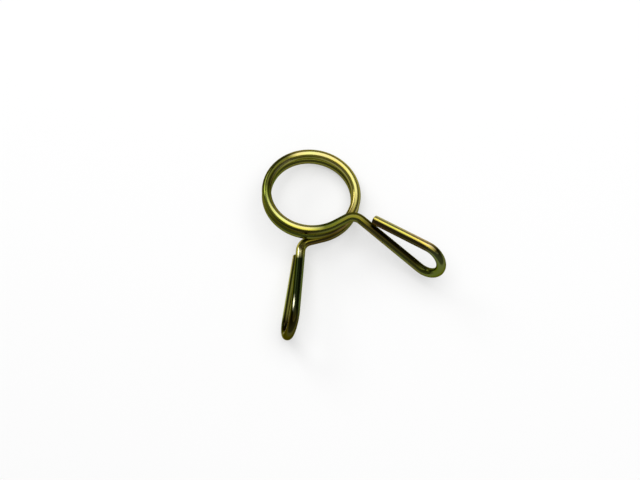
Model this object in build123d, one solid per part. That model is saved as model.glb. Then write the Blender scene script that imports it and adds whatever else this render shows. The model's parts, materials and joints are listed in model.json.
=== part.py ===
"""Spring-wire tubing clamp: one round wire wound into a coil, with a folded finger ear at each end.

Lengths are in millimetres and +Z is up. The wire is drawn in the clamp's own frame first: the coil's
axis is Z, its centre is the origin, and the ears point towards -Y. The upper ear leaves on the +X side.
The lower ear is bent alike, with its own leg lengths, and turned half a turn about Y. The finished clamp
is then laid down as it comes to rest on a table, with the middle of its box above the origin.
"""

import math
import os

import numpy as np
from build123d import *
from scipy.spatial import ConvexHull

# Wire and coil
wire_diameter = 1.40
coil_inner_diameter = 12.0
turn_gap = 0.05
coil_turns = 2
overrun_deg = 7.5

# Ears
lead_length = 2.0
bend_radius_share = 1.32
ear_bend_deg = 70.0
ear_dip_deg = 6.5
upper_leg_length = 10.85
lower_leg_length = 10.05
loop_mean_radius = 2.50
loop_turn_deg = 199.0
loop_lean_deg = 12.5
upper_return_length = 9.0
lower_return_length = 9.85
end_chamfer_share = 0.15

# Points taken along the wire to find how it rests
rest_samples = 1500

# Sizes that follow from those above
wire_radius = wire_diameter / 2
coil_radius = coil_inner_diameter / 2 + wire_radius
pitch = wire_diameter + turn_gap
bend_radius = wire_diameter * bend_radius_share
end_chamfer = wire_diameter * end_chamfer_share

# The ends leave the coil on the ears' side, each a little past the middle
front = -math.pi / 2
overrun = math.radians(overrun_deg)
coil_angle = 2 * math.pi * round(coil_turns) + 2 * overrun
rise_per_radian = pitch / (2 * math.pi)
coil_height = rise_per_radian * coil_angle


def straight(start, heading, length):
    """A straight run of wire, and the point where it ends."""
    end = start + heading * length
    return Line(start, end), end


def bend(start, heading, inward, radius, angle):
    """An arc that turns the heading towards the inward side, its end point and its end heading."""

    def point(turned):
        ahead = heading * (radius * math.sin(turned))
        aside = inward * (radius * (1 - math.cos(turned)))
        return start + ahead + aside

    end_heading = heading * math.cos(angle) + inward * math.sin(angle)
    return ThreePointArc(point(0), point(angle / 2), point(angle)), point(angle), end_heading


def square_to(direction, heading):
    """The part of a direction that is square to a heading, as a unit vector."""
    return (direction - heading * direction.dot(heading)).normalized()


def ear(leg_length, return_length):
    """The upper ear, from the coil outwards: lead, bend, leg, loop and the leg that comes back."""
    leave = front + overrun
    start = Vector(coil_radius * math.cos(leave), coil_radius * math.sin(leave), coil_height / 2)
    tangent = Vector(-start.Y, start.X, rise_per_radian).normalized()
    lead, lead_end = straight(start, tangent, lead_length)

    # The bend turns the wire away from the coil and dips it towards the coil's mid plane
    out = leave + math.pi / 2 - math.radians(ear_bend_deg)
    dip = math.radians(ear_dip_deg)
    level = Vector(math.cos(out), math.sin(out), 0)
    leg_heading = level * math.cos(dip) - Vector(0, 0, math.sin(dip))
    away = square_to(leg_heading, tangent)
    corner, corner_end, heading = bend(lead_end, tangent, away, bend_radius, math.acos(tangent.dot(leg_heading)))
    leg, leg_end = straight(corner_end, heading, leg_length)

    # The loop folds the wire back over the leg, leaning away from the other ear
    lean = math.radians(loop_lean_deg)
    upright = square_to(Vector(0, 0, 1), heading)
    fold = upright * math.cos(lean) + upright.cross(heading) * math.sin(lean)
    loop, loop_end, back = bend(leg_end, heading, fold, loop_mean_radius, math.radians(loop_turn_deg))
    return_leg, cut_end = straight(loop_end, back, return_length)
    return [lead, corner, leg, loop, return_leg], Plane(origin=cut_end, z_dir=back)


def coil():
    """The helix between the two ears, with its middle at the origin."""
    helix = Helix(pitch, coil_height, coil_radius)
    first = math.degrees(front - overrun)
    return helix.rotate(Axis.Z, first).translate((0, 0, -coil_height / 2))


def laid_to_rest(wire, path):
    """Tip the wire onto the plane that carries it below its centre of mass, then centre its box."""
    line = np.array([tuple(path.position_at(share)) for share in np.linspace(0, 1, rest_samples)])
    centre = np.array(tuple(wire.center(CenterOf.MASS)))
    planes = ConvexHull(line).equations
    down = np.array([0.0, 0.0, -1.0])
    for _ in planes:
        below = planes[planes[:, :3] @ down > 0]
        drop = -(below[:, :3] @ centre + below[:, 3]) / (below[:, :3] @ down)
        carrier = below[np.argmin(drop), :3]
        if np.allclose(carrier, down):
            break
        down = carrier
    tip = math.degrees(math.acos(-down[2]))
    laid = wire.rotate(Axis((0, 0, 0), (-down[1], down[0], 0)), tip)
    box = laid.bounding_box()
    return laid.translate((-box.center().X, -box.center().Y, -box.min.Z))


upper_ear, upper_cut = ear(upper_leg_length, upper_return_length)
lower_ear, _ = ear(lower_leg_length, lower_return_length)
half_turn_deg = 180.0
path = Wire([edge.rotate(Axis.Y, half_turn_deg) for edge in lower_ear] + [coil()] + upper_ear)
wire = sweep(upper_cut * Circle(wire_radius), path)
cut_faces = wire.faces().filter_by(GeomType.PLANE)
wire = chamfer(cut_faces.edges(), end_chamfer)
os.makedirs("parts", exist_ok=True)
export_step(laid_to_rest(wire, path), "parts/spring_wire.step")
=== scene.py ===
# %% [markdown]
# A spring-wire tubing clamp is one length of round wire: a coil of close turns that grips the tube, and an
# ear at each end to pinch it open. The imported model is loaded first and gives the place of everything.

import json
import math

import bpy
import numpy as np
from mathutils import Matrix


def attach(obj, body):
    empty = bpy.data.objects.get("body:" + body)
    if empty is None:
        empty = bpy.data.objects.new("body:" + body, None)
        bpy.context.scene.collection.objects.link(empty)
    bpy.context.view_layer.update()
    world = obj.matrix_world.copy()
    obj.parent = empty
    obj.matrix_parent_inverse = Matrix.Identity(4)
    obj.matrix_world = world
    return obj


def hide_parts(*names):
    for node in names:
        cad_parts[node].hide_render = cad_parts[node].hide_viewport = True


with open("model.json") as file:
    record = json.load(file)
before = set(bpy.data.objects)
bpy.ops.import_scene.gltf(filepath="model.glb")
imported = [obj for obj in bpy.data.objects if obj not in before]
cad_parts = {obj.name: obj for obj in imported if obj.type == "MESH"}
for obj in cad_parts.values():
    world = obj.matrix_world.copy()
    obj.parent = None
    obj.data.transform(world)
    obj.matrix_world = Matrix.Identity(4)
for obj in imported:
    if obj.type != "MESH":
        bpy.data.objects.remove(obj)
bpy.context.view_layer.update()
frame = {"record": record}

# %% [markdown]
# The camera comes first, so that every later step can be judged in the picture. It could be placed by
# hand until the picture fits. Here it is written the way a photographer would say it: what it points at,
# how far away it is, and its angles round the object, above it and about the line of sight.

# %% Camera
def put_in_scene(name, data, right=(1, 0, 0), back=(0, 0, 1), at=(0, 0, 0)):
    """A new object in the scene. A camera or a lamp looks the opposite way to its back axis."""
    matrix = np.eye(4)
    matrix[:3] = np.column_stack([right, np.cross(back, right), back, at])
    thing = bpy.data.objects.new(name, data)
    thing.matrix_world = Matrix(matrix.tolist())
    bpy.context.scene.collection.objects.link(thing)
    return thing


target = np.array([-1.962e-3, -1.078e-3, 3.138e-3])
distance = 127.30e-3
azimuth, elevation, roll = np.radians([-7.68, 68.96, -16.83])

back = np.array([math.sin(azimuth) * math.cos(elevation), -math.cos(azimuth) * math.cos(elevation),
                 math.sin(elevation)])
level = np.array([math.cos(azimuth), math.sin(azimuth), 0.0])
right = math.cos(roll) * level + math.sin(roll) * np.cross(back, level)

camera_data = bpy.data.cameras.new("photo_camera")
camera_data.sensor_width = 36.0
camera_data.lens = 48.87
camera_data.clip_start = 0.01
camera = put_in_scene("photo_camera", camera_data, right, back, target + distance * back)
bpy.context.scene.camera = camera
print("camera at", [round(value, 4) for value in camera.matrix_world.translation])

# %% [markdown]
# A wire form is known by its centre line, so the next cells draw that line as a bender would make it: a
# straight run, a bend, a straight run, a loop and so on. A Blender curve with a round bevel could follow
# it too. Whole arrays of points are used instead, because they give every point of the surface its place
# along the wire and round it, which the plating's colours follow later.

# %% Sizes of the wire form, in metres and radians
mm = 1e-3
grip = frame["record"]["mounts"][0]
wire_radius = 0.70 * mm
skin_inset = 0.002 * mm
coil_radius = grip["dims"]["r_mm"] * mm + wire_radius
turn_gap = 0.05 * mm
overrun = math.radians(7.5)
lead_length = 2.0 * mm
bend_radius_share = 1.32
ear_bend, ear_dip = math.radians(70.0), math.radians(6.5)
upper_leg_length, lower_leg_length = 10.85 * mm, 10.05 * mm
loop_radius = 2.50 * mm
loop_turn, loop_lean = math.radians(199.0), math.radians(12.5)
upper_return_length, lower_return_length = 9.0 * mm, 9.85 * mm
end_round = 0.21 * mm
station_step = 0.12 * mm

skin_radius = wire_radius - skin_inset
pitch = 2 * wire_radius + turn_gap
bend_radius = bend_radius_share * 2 * wire_radius
coil_angle = 4 * math.pi + 2 * overrun
rise = pitch / (2 * math.pi)
print("coil radius", coil_radius, "pitch", pitch)

# %% Runs of wire: points, headings and a side square to each heading
any_side = np.array([0.0, 0.6, 0.8])


def unit(vector):
    """A vector divided by its length."""
    return vector / np.linalg.norm(vector)


def square_to(direction, heading):
    """The part of a direction that is square to a heading, as a unit vector."""
    return unit(direction - heading * np.dot(direction, heading))


def straight_run(start, heading, length):
    """start + distance times heading, for distances about one station apart."""
    distances = np.linspace(0, length, int(length / station_step) + 2)
    points = start + distances[:, None] * heading
    side = square_to(any_side, heading)
    return points, np.tile(heading, (len(points), 1)), np.tile(side, (len(points), 1))


def bend_run(start, heading, inward, radius, angle):
    """start + radius times (sin a times heading + (1 - cos a) times inward), for a from 0 to the angle."""
    a = np.linspace(0, angle, int(angle * radius / station_step) + 2)[:, None]
    points = start + radius * (np.sin(a) * heading + (1 - np.cos(a)) * inward)
    headings = np.cos(a) * heading + np.sin(a) * inward
    return points, headings, np.tile(np.cross(heading, inward), (len(points), 1))


def coil_run():
    """Helix: the angle runs from just before the ears' side to just past it, two turns later."""
    a = np.linspace(0, coil_angle, int(coil_angle * coil_radius / station_step))
    around = a - math.pi / 2 - overrun
    out = np.column_stack([np.cos(around), np.sin(around), np.zeros_like(a)])
    points = coil_radius * out
    points[:, 2] = rise * (a - coil_angle / 2)
    headings = np.column_stack([-np.sin(around), np.cos(around), np.full_like(a, rise / coil_radius)])
    return points, headings / math.hypot(1, rise / coil_radius), out


coil = coil_run()
print("coil stations", len(coil[0]))

# %% [markdown]
# An ear is made at the bench in this order: the wire leaves the coil on a short straight lead, is bent
# out and away from the coil, runs straight for the length of a fingertip, and is folded back over itself
# in a round loop, so that the finger presses on two wires and not on a cut end.

# %% Ears, and the whole path
def ear_run(leg_length, return_length):
    """Lead, bend, leg, loop and return leg of the upper ear, joined into one run from the coil outwards."""
    start, tangent = coil[0][-1], coil[1][-1]
    lead = straight_run(start, tangent, lead_length)
    out = overrun - ear_bend
    leg_heading = np.array([math.cos(out) * math.cos(ear_dip), math.sin(out) * math.cos(ear_dip),
                            -math.sin(ear_dip)])
    away = square_to(leg_heading, tangent)
    corner = bend_run(lead[0][-1], tangent, away, bend_radius, math.acos(np.dot(tangent, leg_heading)))
    leg = straight_run(corner[0][-1], leg_heading, leg_length)
    upright = square_to(np.array([0.0, 0.0, 1.0]), leg_heading)
    fold = upright * math.cos(loop_lean) + np.cross(upright, leg_heading) * math.sin(loop_lean)
    loop = bend_run(leg[0][-1], leg_heading, fold, loop_radius, loop_turn)
    home = straight_run(loop[0][-1], loop[1][-1], return_length - end_round)
    runs = [lead, corner, leg, loop, home]
    return [np.vstack([run[k][1:] for run in runs]) for k in range(3)]


half_turn = np.array([-1.0, 1.0, -1.0])
upper = ear_run(upper_leg_length, upper_return_length)
lower = [rows * half_turn for rows in ear_run(lower_leg_length, lower_return_length)]
points = np.vstack([lower[0][::-1], coil[0], upper[0]])
headings = np.vstack([-lower[1][::-1], coil[1], upper[1]])
sides = np.vstack([lower[2][::-1], coil[2], upper[2]])
along = np.concatenate([[0], np.cumsum(np.linalg.norm(np.diff(points, axis=0), axis=1))])
print("wire", round(along[-1] / mm, 2), "mm long in", len(points), "stations")

# %% [markdown]
# A round profile carried along a bent path needs a direction to call its top. If that direction twists,
# the draw lines of the wire would spiral. So each side vector is carried on to the next station, the
# angle that it misses by is measured, and the running sum of those angles is turned back.

# %% Sides without twist
def row_dots(first, second):
    """The dot product of each row of one array with the same row of another."""
    return np.sum(first * second, axis=1)


carried = sides[:-1] - headings[1:] * row_dots(sides[:-1], headings[1:])[:, None]
sine = row_dots(headings[1:], np.cross(carried, sides[1:]))
miss = np.arctan2(sine, row_dots(carried, sides[1:]))
twist = np.concatenate([[0], np.cumsum(miss)])[:, None]
across = np.cross(headings, sides)
top = sides * np.cos(twist) - across * np.sin(twist)
flank = np.cross(headings, top)
print("twist taken out", round(float(np.degrees(np.abs(miss).sum())), 1), "degrees")

# %% [markdown]
# The wire's surface is a circle carried along that path. At both ends the shears leave a slightly rounded
# rim and a flat face, so the last rings shrink along a quarter circle and then close on the middle of the
# face. Each point also keeps its place on the wire as it was before bending: across, up and along.

# %% Wire surface
spokes = 40
rim_steps = 6
face_shares = np.array([0.8, 0.55, 0.3])
face_rings = len(face_shares)


def rings_with_ends():
    """Path rings at full radius, then rim rings, end_round times sin a further on, radius less
    end_round times (1 - cos a), then flat face rings at shares of the last radius."""
    a = np.linspace(0, math.pi / 2, rim_steps + 1)[1:]
    rim_radius = skin_radius - end_round * (1 - np.cos(a))
    tail_radius = np.concatenate([rim_radius, rim_radius[-1] * face_shares])
    tail_reach = end_round * np.concatenate([np.sin(a), np.ones(face_rings)])
    first, last = np.zeros(len(tail_reach), int), np.full(len(tail_reach), len(points) - 1)
    station = np.concatenate([first, np.arange(len(points)), last])
    reach = np.concatenate([-tail_reach[::-1], np.zeros(len(points)), tail_reach])
    radius = np.concatenate([tail_radius[::-1], np.full(len(points), skin_radius), tail_radius])
    return station, reach, radius


station, reach, ring_radius = rings_with_ends()
centres = points[station] + reach[:, None] * headings[station]
angle = np.arange(spokes) * 2 * math.pi / spokes
spoke = top[station][:, None] * np.cos(angle)[:, None] + flank[station][:, None] * np.sin(angle)[:, None]
surface = centres[:, None] + ring_radius[:, None, None] * spoke
flat_place = np.empty_like(surface)
flat_place[..., 0] = ring_radius[:, None] * np.cos(angle)
flat_place[..., 1] = ring_radius[:, None] * np.sin(angle)
flat_place[..., 2] = (along[station] + reach)[:, None]
print("rings", len(centres), "spokes", spokes)

# %% [markdown]
# So far the coil's axis stands upright. The clamp lies on a table, leaning on its lower loop, and the
# record gives the coil's middle and its axis there. One turn about a level line, from upright to that
# axis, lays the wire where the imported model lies. The way that each point faces is turned with it.

# %% Lay the wire down
axis = unit(np.array(grip["axis"]))
cross = np.array([[0, 0, axis[0]], [0, 0, axis[1]], [-axis[0], -axis[1], 0]])
lay = np.eye(3) + cross + cross @ cross / (1 + axis[2])
ends = np.array([centres[0], centres[-1]])
flat_ends = np.array([[0, 0, along[0] - end_round], [0, 0, along[-1] + end_round]])
verts = np.vstack([surface.reshape(-1, 3), ends]) @ lay.T + np.array(grip["pos_m"])
place = np.vstack([flat_place.reshape(-1, 3), flat_ends])
outward = np.vstack([spoke.reshape(-1, 3) @ lay.T, np.zeros((2, 3))])
print("lean", round(math.degrees(math.acos(axis[2])), 2), "lowest point", round(float(verts[:, 2].min()), 6))

# %% [markdown]
# The grid becomes a mesh: four-sided faces between neighbouring rings, and a fan of triangles round the
# middle of each cut face. The mesh stands for the CAD node and rides on the one body that the part has.

# %% Mesh
ring_count = len(centres)
grid = np.arange(ring_count * spokes).reshape(ring_count, spokes)
ahead = np.roll(grid, -1, axis=1)
quads = np.stack([grid[:-1], ahead[:-1], ahead[1:], grid[1:]], axis=-1).reshape(-1, 4)
first_pole, last_pole = ring_count * spokes, ring_count * spokes + 1
first_fan = np.column_stack([ahead[0], grid[0], np.full(spokes, first_pole)])
last_fan = np.column_stack([grid[-1], ahead[-1], np.full(spokes, last_pole)])
wire_mesh = bpy.data.meshes.new("clamp_wire")
wire_mesh.from_pydata(verts.tolist(), [], quads.tolist() + first_fan.tolist() + last_fan.tolist())
wire_mesh.polygons.foreach_set("use_smooth", np.ones(len(wire_mesh.polygons), bool))
for name, rows in (("wire_place", place), ("wire_facing", outward)):
    attribute = wire_mesh.attributes.new(name, "FLOAT_VECTOR", "POINT")
    attribute.data.foreach_set("vector", rows.astype(np.float32).ravel())
clamp = put_in_scene("clamp_wire", wire_mesh)
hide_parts("spring_wire")
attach(clamp, "root")
print("faces", len(wire_mesh.polygons))

# %% [markdown]
# The wire is zinc plated and dipped in a yellow chromate bath. The film is so thin that its colour comes
# from its thickness: pale gold where it is thin, green and brown where it is thicker. Along the wire the
# colours
# also hold painted light and shade: the ears' legs and loops are darkened to nearly black, partly as film
# colour and partly as painted shade, and the lower ear's bend carries a painted highlight. Each place along
# the wire has a lighter film for its upper face and a darker one for its sides, which is painted light from
# above and painted shade on the sides, and the very crown is palest, a painted highlight. On the lower ear's
# leg a short painted glint is laid on the film. The next cell lists these films and where they change.

# %% Films and their places
# Films of the painted lit upper face, from bright to dark
painted_highlight_cream, bronze, gold = (0.680, 0.660, 0.330), (0.540, 0.486, 0.228), (0.425, 0.412, 0.145)
lime, tan = (0.160, 0.180, 0.030), (0.125, 0.120, 0.022)
dull, shaded = (0.068, 0.071, 0.013), (0.058, 0.059, 0.014)
dark_brown, dark_green = (0.010, 0.007, 0.002), (0.008, 0.012, 0.003)
# Films of the sides, in painted shade
straw, wheat, olive = (0.280, 0.260, 0.090), (0.560, 0.540, 0.180), (0.135, 0.128, 0.034)
leaf, moss, pine = (0.105, 0.122, 0.024), (0.140, 0.142, 0.028), (0.115, 0.142, 0.050)
umber, russet = (0.062, 0.050, 0.012), (0.062, 0.044, 0.015)
# Places in millimetres along the wire, with the film on the painted lit upper face and on the painted shaded
# sides. The near black on the ears' legs and loops is partly film colour and partly painted shade, the bright
# film at the lower ear's bend is a painted highlight, and the dull stretch from 97.8 to 104 mm is painted
# shade that dims a lamp's reflection there
zones_mm = ((3, shaded, wheat), (8.5, shaded, wheat), (10, dark_brown, olive), (14.5, dark_brown, umber),
            (17, dark_brown, umber), (19, dark_green, pine), (26.8, dark_green, pine), (27.7, painted_highlight_cream, moss),
            (29, painted_highlight_cream, moss), (29.8, tan, umber), (33, tan, umber), (38, tan, moss), (72, tan, moss),
            (76, dull, umber), (80, tan, straw), (84, gold, straw), (89, gold, straw), (94, gold, moss),
            (96.4, gold, moss), (97.8, dull, straw), (104, dull, umber), (105.3, lime, moss),
            (110, gold, umber), (114.5, gold, umber), (117, dull, leaf), (122.5, tan, leaf),
            (125, dark_brown, olive), (133, dark_brown, olive), (136, dull, leaf), (138.5, dark_brown, leaf),
            (141.2, dark_brown, pine), (142.6, bronze, russet))
# The way that the painted light falls from. The cosine of a point's angle to it tells the painted lit upper
# face from the painted shaded sides, and tints the upper face up to a painted highlight at its crown. The far
# side of the upper turn and the upper return leg have their own ways, tilted to move their painted
# highlights, each with places along the wire and how far it counts there.
painted_light_way = (0.12, 0.30, 1.0)
far_painted_light_way = (-0.02, -0.13, 0.99)
far_light_mm = ((89.0, 0.0), (92.0, 1.0), (96.5, 1.0), (98.5, 0.0))
return_painted_light_way = (0.56, 0.21, 0.80)
return_light_mm = ((141.5, 0.0), (143.5, 1.0))
shade_cosine, lit_cosine = 0.50, 0.88
# Painted highlight: the upper film pales towards its crown.
painted_highlight_stops = ((0.82, (1.0, 0.96, 0.32)), (0.97, (1.0, 1.0, 1.0)))
# The painted glint on the lower ear's leg, a bright patch of film where the back lamp is mirrored: the way
# it faces, the cosines at its edge and at its middle, and its places along the wire with how strong it is
painted_glint_way = (-0.10, 0.30, 0.94)
painted_glint_edge_cosine, painted_glint_middle_cosine = 0.970, 0.995
painted_glint_mm = ((18.2, 0.0), (18.9, 1.0), (19.6, 1.0), (20.2, 0.0))
painted_glint_film = (0.40, 0.40, 0.26, 1)
# The slow drift of hue over all films, from green to bronze, and the shade of a torn face
drift_stops = ((0.32, (0.76, 1.0, 0.85)), (0.50, (1.0, 1.0, 1.0)), (0.70, (1.0, 0.80, 0.95)))
torn = (0.55, 0.45, 0.35, 1)
# Noise is given in waves per metre across, up and along the wire
drift_waves = (420.0, 420.0, 110.0)
cloud_waves = (2600.0, 2600.0, 1500.0)

length_mm = along[-1] / mm
lit_stops = [(place_mm / length_mm, lit_film) for place_mm, lit_film, _ in zones_mm]
shade_stops = [(place_mm / length_mm, shade_film) for place_mm, _, shade_film in zones_mm]
far_light_stops = [(place_mm / length_mm, (amount, amount, amount)) for place_mm, amount in far_light_mm]
return_light_stops = [(place_mm / length_mm, (amount, amount, amount)) for place_mm, amount in return_light_mm]
painted_glint_stops = [(place_mm / length_mm, (glint_amount, glint_amount, glint_amount)) for place_mm, glint_amount in painted_glint_mm]
print("film zones", len(zones_mm), "on", round(length_mm, 1), "mm of wire")

# %% [markdown]
# The film is made of a few plain steps: a ramp of colours, a mix, a cosine, a smooth step and a noise. Each
# gets a small function that adds its node, links it and hands back its output, so that the group reads like
# a sum.

# %% Node functions
# Sockets of a Mix node that mixes colours
mix_factor, mix_first, mix_second, mix_result = 0, 6, 7, 2


def give(tree, entry, value):
    """Link an input to a socket, or set it to a plain value."""
    if isinstance(value, bpy.types.NodeSocket):
        tree.links.new(value, entry)
    else:
        entry.default_value = value


def new_node(tree, kind, **values):
    """One shader node, with its inputs given by name and an underscore written for each space."""
    made = tree.nodes.new(kind)
    for name, value in values.items():
        give(tree, made.inputs[name.replace("_", " ")], value)
    return made


def ramp(tree, value, stops):
    """The colour at a value, between the listed stops."""
    made = new_node(tree, "ShaderNodeValToRGB", Fac=value)
    entries = made.color_ramp.elements
    entries.remove(entries[1])
    entries[0].position = stops[0][0]
    for stop, _ in stops[1:]:
        entries.new(stop)
    for entry, (_, colour) in zip(entries, stops):
        entry.color = (*colour, 1)
    return made.outputs["Color"]


def mixed(tree, factor, first, second, blend="MIX"):
    """Two colours, or two values carried as greys, mixed by a factor."""
    made = tree.nodes.new("ShaderNodeMix")
    made.data_type = "RGBA"
    made.blend_type = blend
    give(tree, made.inputs[mix_factor], factor)
    give(tree, made.inputs[mix_first], first)
    give(tree, made.inputs[mix_second], second)
    return made.outputs[mix_result]


def cosine_to(tree, facing, way):
    """The cosine of the angle between where a point faces and a fixed way."""
    made = tree.nodes.new("ShaderNodeVectorMath")
    made.operation = "DOT_PRODUCT"
    tree.links.new(facing, made.inputs[0])
    made.inputs[1].default_value = unit(np.array(way))
    return made.outputs["Value"]


def eased(tree, value, low, high):
    """A smooth step from 0 at the low value to 1 at the high one."""
    made = new_node(tree, "ShaderNodeMapRange", Value=value, From_Min=low, From_Max=high)
    made.interpolation_type = "SMOOTHSTEP"
    return made.outputs["Result"]


def noise_on_wire(tree, place_socket, waves, detail, roughness=0.5):
    """Noise at a place on the straight wire, with waves per metre along each of its axes."""
    scaled = new_node(tree, "ShaderNodeMapping", Vector=place_socket, Scale=waves)
    made = new_node(tree, "ShaderNodeTexNoise", Vector=scaled.outputs["Vector"], Scale=1.0, Detail=detail,
                    Roughness=roughness)
    return made.outputs["Fac"]


def calculated(tree, operation, first, second):
    """The result of one operation on two values."""
    made = tree.nodes.new("ShaderNodeMath")
    made.operation = operation
    give(tree, made.inputs[0], first)
    give(tree, made.inputs[1], second)
    return made.outputs[0]


node_functions = (ramp, mixed, cosine_to, eased, noise_on_wire, calculated)
print("node functions", [function.__name__ for function in node_functions])

# %% [markdown]
# The film's colours could be painted on by hand. Here a node group reads each point's place on the straight
# wire and the way it faces, so that the colours run on through every bend, and the drawn surface and the
# cut faces can both use it.

# %% Film group
# The group gives the film's own colours together with its painted light, shade, highlight and glint.
film = bpy.data.node_groups.new("chromate_film_and_painted_light", "ShaderNodeTree")
film.interface.new_socket("Place", in_out="INPUT", socket_type="NodeSocketVector")
film.interface.new_socket("Facing", in_out="INPUT", socket_type="NodeSocketVector")
film.interface.new_socket("Darken", in_out="INPUT", socket_type="NodeSocketFloat")
film.interface.new_socket("Color", in_out="OUTPUT", socket_type="NodeSocketColor")
film.interface.new_socket("Cloud", in_out="OUTPUT", socket_type="NodeSocketFloat")
given = film.nodes.new("NodeGroupInput").outputs
result = film.nodes.new("NodeGroupOutput").inputs

split = new_node(film, "ShaderNodeSeparateXYZ", Vector=given["Place"])
share = new_node(film, "ShaderNodeMapRange", Value=split.outputs["Z"], From_Max=along[-1])
share_along = share.outputs["Result"]
# Painted light and shade: the cosine to the light's way picks a lit upper film or a shaded side film.
far_light_cosine = cosine_to(film, given["Facing"], far_painted_light_way)
return_light_cosine = cosine_to(film, given["Facing"], return_painted_light_way)
light_cosine = cosine_to(film, given["Facing"], painted_light_way)
light_cosine = mixed(film, ramp(film, share_along, far_light_stops), light_cosine, far_light_cosine)
light_cosine = mixed(film, ramp(film, share_along, return_light_stops), light_cosine, return_light_cosine)
# A painted highlight that pales the film towards the crown.
painted_crown_highlight = ramp(film, light_cosine, painted_highlight_stops)
lit_film = mixed(film, 1.0, ramp(film, share_along, lit_stops), painted_crown_highlight, "MULTIPLY")
shade_film = ramp(film, share_along, shade_stops)
lit_and_shaded_film = mixed(film, eased(film, light_cosine, shade_cosine, lit_cosine), shade_film, lit_film)

# A painted glint: a bright patch of film facing the back lamp on the lower ear's leg.
painted_glint_cosine = cosine_to(film, given["Facing"], painted_glint_way)
painted_glint_across = eased(film, painted_glint_cosine, painted_glint_edge_cosine, painted_glint_middle_cosine)
painted_glint = mixed(film, 1.0, painted_glint_across, ramp(film, share_along, painted_glint_stops), "MULTIPLY")
glinted_film = mixed(film, painted_glint, lit_and_shaded_film, painted_glint_film)

drift = ramp(film, noise_on_wire(film, given["Place"], drift_waves, detail=3.0), drift_stops)
tinted = mixed(film, 1.0, glinted_film, drift, "MULTIPLY")
film.links.new(mixed(film, given["Darken"], tinted, torn, "MULTIPLY"), result["Color"])
cloud = noise_on_wire(film, given["Place"], cloud_waves, detail=4.0, roughness=0.6)
film.links.new(cloud, result["Cloud"])
print("group", film.name, "with", len(film.nodes), "nodes")

# %% [markdown]
# Two finishes use that film. The drawn surface is bright, with fine lines along the wire left by the
# drawing die. A cut face was sheared, so it is duller and a little torn under the same film. Bare metal
# turns white where it is seen edge on. The film swallows light there, so that edge is tinted a dark olive.

# %% Plated wire and cut face materials
edge_tint = (0.45, 0.42, 0.20, 1)
line_strength = 0.04


def plated(name, darken, rough_low, rough_high, line_waves, line_depth):
    """A metal that takes its colour from the film group, with its painted light, shade, highlights and glint,
    its roughness from the film's cloud, and its lines from noise stretched along the wire."""
    material = bpy.data.materials.new(name)
    material.use_nodes = True
    tree = material.node_tree
    shader = tree.nodes["Principled BSDF"]
    shader.inputs["Metallic"].default_value = 1.0
    shader.inputs["Specular Tint"].default_value = edge_tint
    place_read = tree.nodes.new("ShaderNodeAttribute")
    place_read.attribute_name = "wire_place"
    facing_read = tree.nodes.new("ShaderNodeAttribute")
    facing_read.attribute_name = "wire_facing"
    coloured = tree.nodes.new("ShaderNodeGroup")
    coloured.node_tree = film
    coloured.inputs["Darken"].default_value = darken
    tree.links.new(place_read.outputs["Vector"], coloured.inputs["Place"])
    tree.links.new(facing_read.outputs["Vector"], coloured.inputs["Facing"])
    rough = new_node(tree, "ShaderNodeMapRange", Value=coloured.outputs["Cloud"], To_Min=rough_low,
                     To_Max=rough_high)
    lines = noise_on_wire(tree, place_read.outputs["Vector"], line_waves, detail=3.0)
    bump = new_node(tree, "ShaderNodeBump", Height=lines, Strength=line_strength, Distance=line_depth)
    tree.links.new(coloured.outputs["Color"], shader.inputs["Base Color"])
    tree.links.new(rough.outputs["Result"], shader.inputs["Roughness"])
    tree.links.new(bump.outputs["Normal"], shader.inputs["Normal"])
    return material


clamp.data.materials.append(plated("plated_wire", darken=0.0, rough_low=0.12, rough_high=0.22,
                                   line_waves=(9000.0, 9000.0, 160.0), line_depth=0.004 * mm))
clamp.data.materials.append(plated("plated_cut_face", darken=0.7, rough_low=0.35, rough_high=0.55,
                                   line_waves=(5000.0, 14000.0, 5000.0), line_depth=0.012 * mm))
cut_rows = np.zeros(ring_count - 1, int)
cut_rows[:face_rings] = 1
cut_rows[-face_rings:] = 1
slots = np.concatenate([np.repeat(cut_rows, spokes), np.ones(2 * spokes, int)])
wire_mesh.polygons.foreach_set("material_index", slots.astype(np.int32))
wire_mesh.update()
print("materials", [material.name for material in clamp.data.materials])

# %% [markdown]
# A small bright metal thing shows its surroundings more than itself. It lies on a pale table, which stronger
# lamps could make white, but they would wash out the metal. Instead about half of the table's paleness is
# its own colour, which takes the clamp's shadow, and the rest is a glow that the camera and mirrors see.

# %% Table
table_reach = 6.0
table_grey = (0.50, 0.50, 0.50, 1)
table_glow = 0.44

table_mesh = bpy.data.meshes.new("table")
corners = [(x * table_reach, y * table_reach, 0) for x, y in ((-1, -1), (1, -1), (1, 1), (-1, 1))]
table_mesh.from_pydata(corners, [], [(0, 1, 2, 3)])
table = put_in_scene("table", table_mesh)

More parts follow.
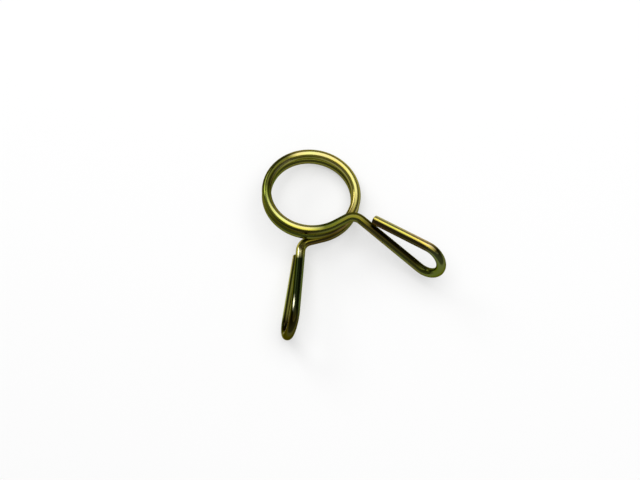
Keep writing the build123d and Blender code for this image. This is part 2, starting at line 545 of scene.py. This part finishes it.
paper = bpy.data.materials.new("pale_table")
paper.use_nodes = True
tree = paper.node_tree
matt = tree.nodes["Principled BSDF"]
matt.inputs["Base Color"].default_value = table_grey
matt.inputs["Roughness"].default_value = 0.8
matt.inputs["Specular IOR Level"].default_value = 0.1
rays = tree.nodes.new("ShaderNodeLightPath").outputs
seen = calculated(tree, "MAXIMUM", rays["Is Camera Ray"], rays["Is Glossy Ray"])
seen = calculated(tree, "MAXIMUM", seen, rays["Is Transmission Ray"])
glow = new_node(tree, "ShaderNodeEmission", Strength=calculated(tree, "MULTIPLY", seen, table_glow))
both = tree.nodes.new("ShaderNodeAddShader")
tree.links.new(matt.outputs["BSDF"], both.inputs[0])
tree.links.new(glow.outputs["Emission"], both.inputs[1])
tree.links.new(both.outputs["Shader"], tree.nodes["Material Output"].inputs["Surface"])
table.data.materials.append(paper)
print("table", 2 * table_reach, "m across")

# %% [markdown]
# One large oval soft box overhead gives the broad highlights along the tops of the wires. A small bright one
# low behind the clamp gives the glints on the lower ear. Everything else is dim, which leaves the dark sides.

# %% Lamps and world
def soft_box(name, polar_deg, azimuth_deg, lamp_distance, width, height, brightness):
    """An oval lamp that faces the origin, as bright as stated: power is pi times area times brightness.
    The polar angle is taken from straight up, and the azimuth about Z from +X."""
    lamp = bpy.data.lights.new(name, "AREA")
    lamp.shape = "ELLIPSE"
    lamp.size, lamp.size_y = width, height
    lamp.energy = math.pi * (math.pi / 4 * width * height) * brightness
    polar, around = math.radians(polar_deg), math.radians(azimuth_deg)
    away = np.array([math.sin(polar) * math.cos(around), math.sin(polar) * math.sin(around), math.cos(polar)])
    put_in_scene(name, lamp, unit(np.cross([0, 0, 1], away)), away, away * lamp_distance)


soft_box("top_box", polar_deg=11, azimuth_deg=15, lamp_distance=0.40,
         width=0.64, height=0.56, brightness=2.1)
soft_box("back_box", polar_deg=60, azimuth_deg=106, lamp_distance=0.45,
         width=0.24, height=0.18, brightness=4.6)

dim_grey = (0.25, 0.25, 0.25, 1)
world = bpy.data.worlds.new("studio")
world.use_nodes = True
world.node_tree.nodes["Background"].inputs["Color"].default_value = dim_grey
bpy.context.scene.world = world
bpy.context.scene.view_settings.view_transform = "Standard"
print("lamps", [lamp.name for lamp in bpy.data.lights])
